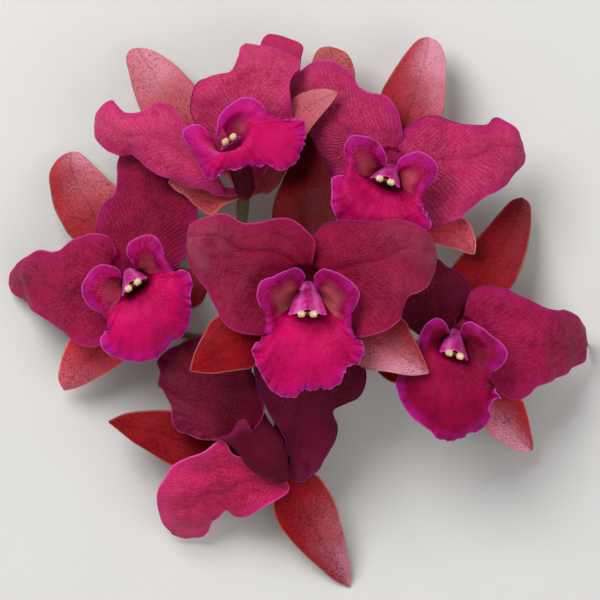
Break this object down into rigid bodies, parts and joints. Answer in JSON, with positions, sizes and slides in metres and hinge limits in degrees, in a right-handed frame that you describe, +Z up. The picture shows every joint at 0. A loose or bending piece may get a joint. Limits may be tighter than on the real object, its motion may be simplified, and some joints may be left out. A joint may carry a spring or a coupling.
{
  "type": "cattleya orchid",
  "caption": "Cut flower head of a cattleya orchid: open crimson blooms with frilled lips round one short stalk, lying on a surface with their faces up.",
  "frame": {"origin": "centre of the bounding box's footprint, on the surface that the head lies on", "axes": "+Z up out of the surface, the way the blooms face; -Y towards the stalk's cut end and the lowest bloom; +X to the right, seen from above"},
  "size_m": [0.189, 0.1794, 0.0683],
  "materials": {
    "petal": "velvety crimson with fine raised veins",
    "sepal": "waxy brick red, faintly freckled",
    "lip": "velvety crimson-pink with a violet frilled edge",
    "column": "waxy lilac pink with maroon spots",
    "pollen": "smooth cream wax",
    "stalk": "smooth olive green"
  },
  "bodies": {
    "root": {"front_sepals": "sepal", "front_petals": "petal", "front_lip": "lip", "front_column": "column", "front_pollen": "pollen", "upper_left_sepals": "sepal", "upper_left_petals": "petal", "upper_left_lip": "lip", "upper_left_column": "column", "upper_left_pollen": "pollen", "upper_right_sepals": "sepal", "upper_right_petals": "petal", "upper_right_lip": "lip", "upper_right_column": "column", "upper_right_pollen": "pollen", "left_sepals": "sepal", "left_petals": "petal", "left_lip": "lip", "left_column": "column", "left_pollen": "pollen", "right_sepals": "sepal", "right_petals": "petal", "right_lip": "lip", "right_column": "column", "right_pollen": "pollen", "lower_sepals": "sepal", "lower_petals": "petal", "lower_lip": "lip", "lower_column": "column", "lower_pollen": "pollen", "rear_sepals": "sepal", "rear_petals": "petal", "rear_lip": "lip", "rear_column": "column", "rear_pollen": "pollen", "stalk": "stalk"}
  },
  "joints": []
}
